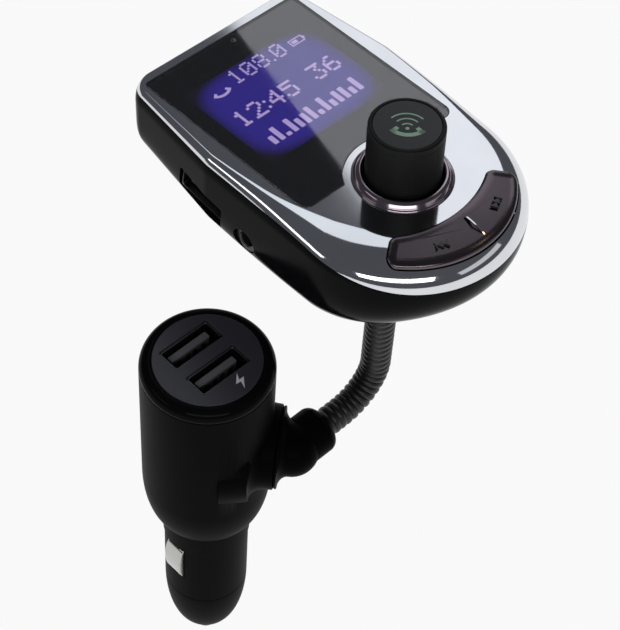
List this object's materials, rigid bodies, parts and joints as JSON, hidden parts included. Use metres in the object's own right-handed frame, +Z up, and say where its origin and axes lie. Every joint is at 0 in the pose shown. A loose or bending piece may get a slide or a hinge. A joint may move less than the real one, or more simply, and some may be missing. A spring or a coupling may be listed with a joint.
{
  "type": "car fm transmitter",
  "caption": "Car FM transmitter with a display head, rotary knob and rocker key on a bendable neck, carried by a 12 V plug with charging ports on its top.",
  "frame": {"origin": "on the plug's axis, at the middle of its collar, the round stretch below the shoulder that a 12 V socket's mouth holds", "axes": "+Z up along the plug's axis, away from its tip; +X along the long side of the charging ports and across the head; +Y along the head, from its knob to its display"},
  "size_m": [0.0817, 0.087, 0.1785],
  "materials": {
    "housing_black": "satin moulded black",
    "gloss_black": "high gloss black",
    "neck_black": "soft ribbed sleeve",
    "dark_chrome": "dark chrome",
    "chrome": "bright chrome plate",
    "label_grey": "glossy dark grey",
    "steel": "plain steel",
    "bright_steel": "bright spring steel",
    "tip_metal": "dark turned metal",
    "board_green": "green circuit board",
    "port_black": "black contact tongue",
    "knob_black": "matte black",
    "glass": "tinted display glass",
    "screen": "lit display",
    "brass": "plain brass",
    "fuse_glass": "fuse with metal caps",
    "part_dark": "dark electronic part"
  },
  "bodies": {
    "plug": {"plug_housing": "housing_black", "bezel_ring": "gloss_black", "label_plate": "label_grey", "port_shell_rear": "steel", "port_shell_front": "steel", "port_tongue_rear": "port_black", "port_tongue_front": "port_black", "port_board": "board_green", "charge_board": "board_green", "capacitor": "part_dark", "choke": "part_dark", "plug_barrel": "housing_black", "nose_cap": "housing_black", "tip_spring": "steel", "spring_seat": "brass"},
    "tip": {"tip_contact": "tip_metal", "fuse": "fuse_glass"},
    "clip_left": {"clip_left": "bright_steel"},
    "clip_right": {"clip_right": "bright_steel"},
    "elbow": {"swivel_elbow": "housing_black", "swivel_screw": "steel", "neck_collar": "housing_black", "neck_root": "neck_black"},
    "neck_low": {"neck_bend": "neck_black"},
    "neck_high": {"neck_mid": "neck_black"},
    "head": {"neck_crown": "neck_black", "neck_socket": "housing_black", "neck_nut": "steel", "rear_shell": "gloss_black", "faceplate": "chrome", "glass": "glass", "display_module": "screen", "microphone": "steel", "knob_ring": "dark_chrome", "face_board": "board_green", "jack_board": "board_green", "encoder_base": "steel", "rocker_fulcrum": "steel", "key_switches": "steel", "side_port_shell": "steel", "side_port_tongue": "port_black", "audio_jack": "port_black", "card_socket": "steel", "case_screws": "steel"},
    "dial": {"encoder_rotor": "steel"},
    "knob": {"knob_shaft": "steel", "knob": "knob_black", "knob_cap": "knob_black"},
    "rocker": {"seek_rocker": "gloss_black"}
  },
  "joints": [
    {"name": "plug_swivel", "type": "hinge", "parent": "plug", "child": "elbow", "pos_m": [0.01239, -0.0153, 0.032], "axis": [0.6293, -0.7771, 0], "range_deg": [-60, 90]},
    {"name": "neck_bend_low", "type": "hinge", "parent": "elbow", "child": "neck_low", "pos_m": [0.03519, -0.0153, 0.03522], "axis": [0, 1, 0], "range_deg": [-20, 35]},
    {"name": "neck_bend_side", "type": "hinge", "parent": "neck_low", "child": "neck_high", "pos_m": [0.03841, -0.0153, 0.058], "axis": [1, 0, 0], "range_deg": [-30, 30]},
    {"name": "neck_bend_high", "type": "hinge", "parent": "neck_high", "child": "head", "pos_m": [0.03841, -0.0153, 0.07], "axis": [0, 1, 0], "range_deg": [-30, 30]},
    {"name": "dial_turn", "type": "hinge", "parent": "head", "child": "dial", "pos_m": [0.03945, -0.01573, 0.10784], "axis": [0.0401, 0.061, 0.9973], "continuous": true},
    {"name": "dial_press", "type": "slide", "parent": "dial", "child": "knob", "axis": [-0.0401, -0.061, -0.9973], "range_m": [0, 0.0005], "stiffness_N_per_m": 3000},
    {"name": "rocker_tilt", "type": "hinge", "parent": "head", "child": "rocker", "pos_m": [0.03935, -0.03536, 0.10543], "axis": [-0.0024, 0.9981, -0.061], "range_deg": [-1.2, 1.2], "stiffness_Nm_per_rad": 1.5},
    {"name": "tip_press", "type": "slide", "parent": "plug", "child": "tip", "axis": [0, 0, 1], "range_m": [0, 0.0025], "stiffness_N_per_m": 2500, "deforming": ["tip_spring"]},
    {"name": "clip_left_press", "type": "slide", "parent": "plug", "child": "clip_left", "axis": [1, 0, 0], "range_m": [0, 0.00115], "stiffness_N_per_m": 4000},
    {"name": "clip_right_press", "type": "slide", "parent": "plug", "child": "clip_right", "axis": [-1, 0, 0], "range_m": [0, 0.00115], "stiffness_N_per_m": 4000}
  ]
}
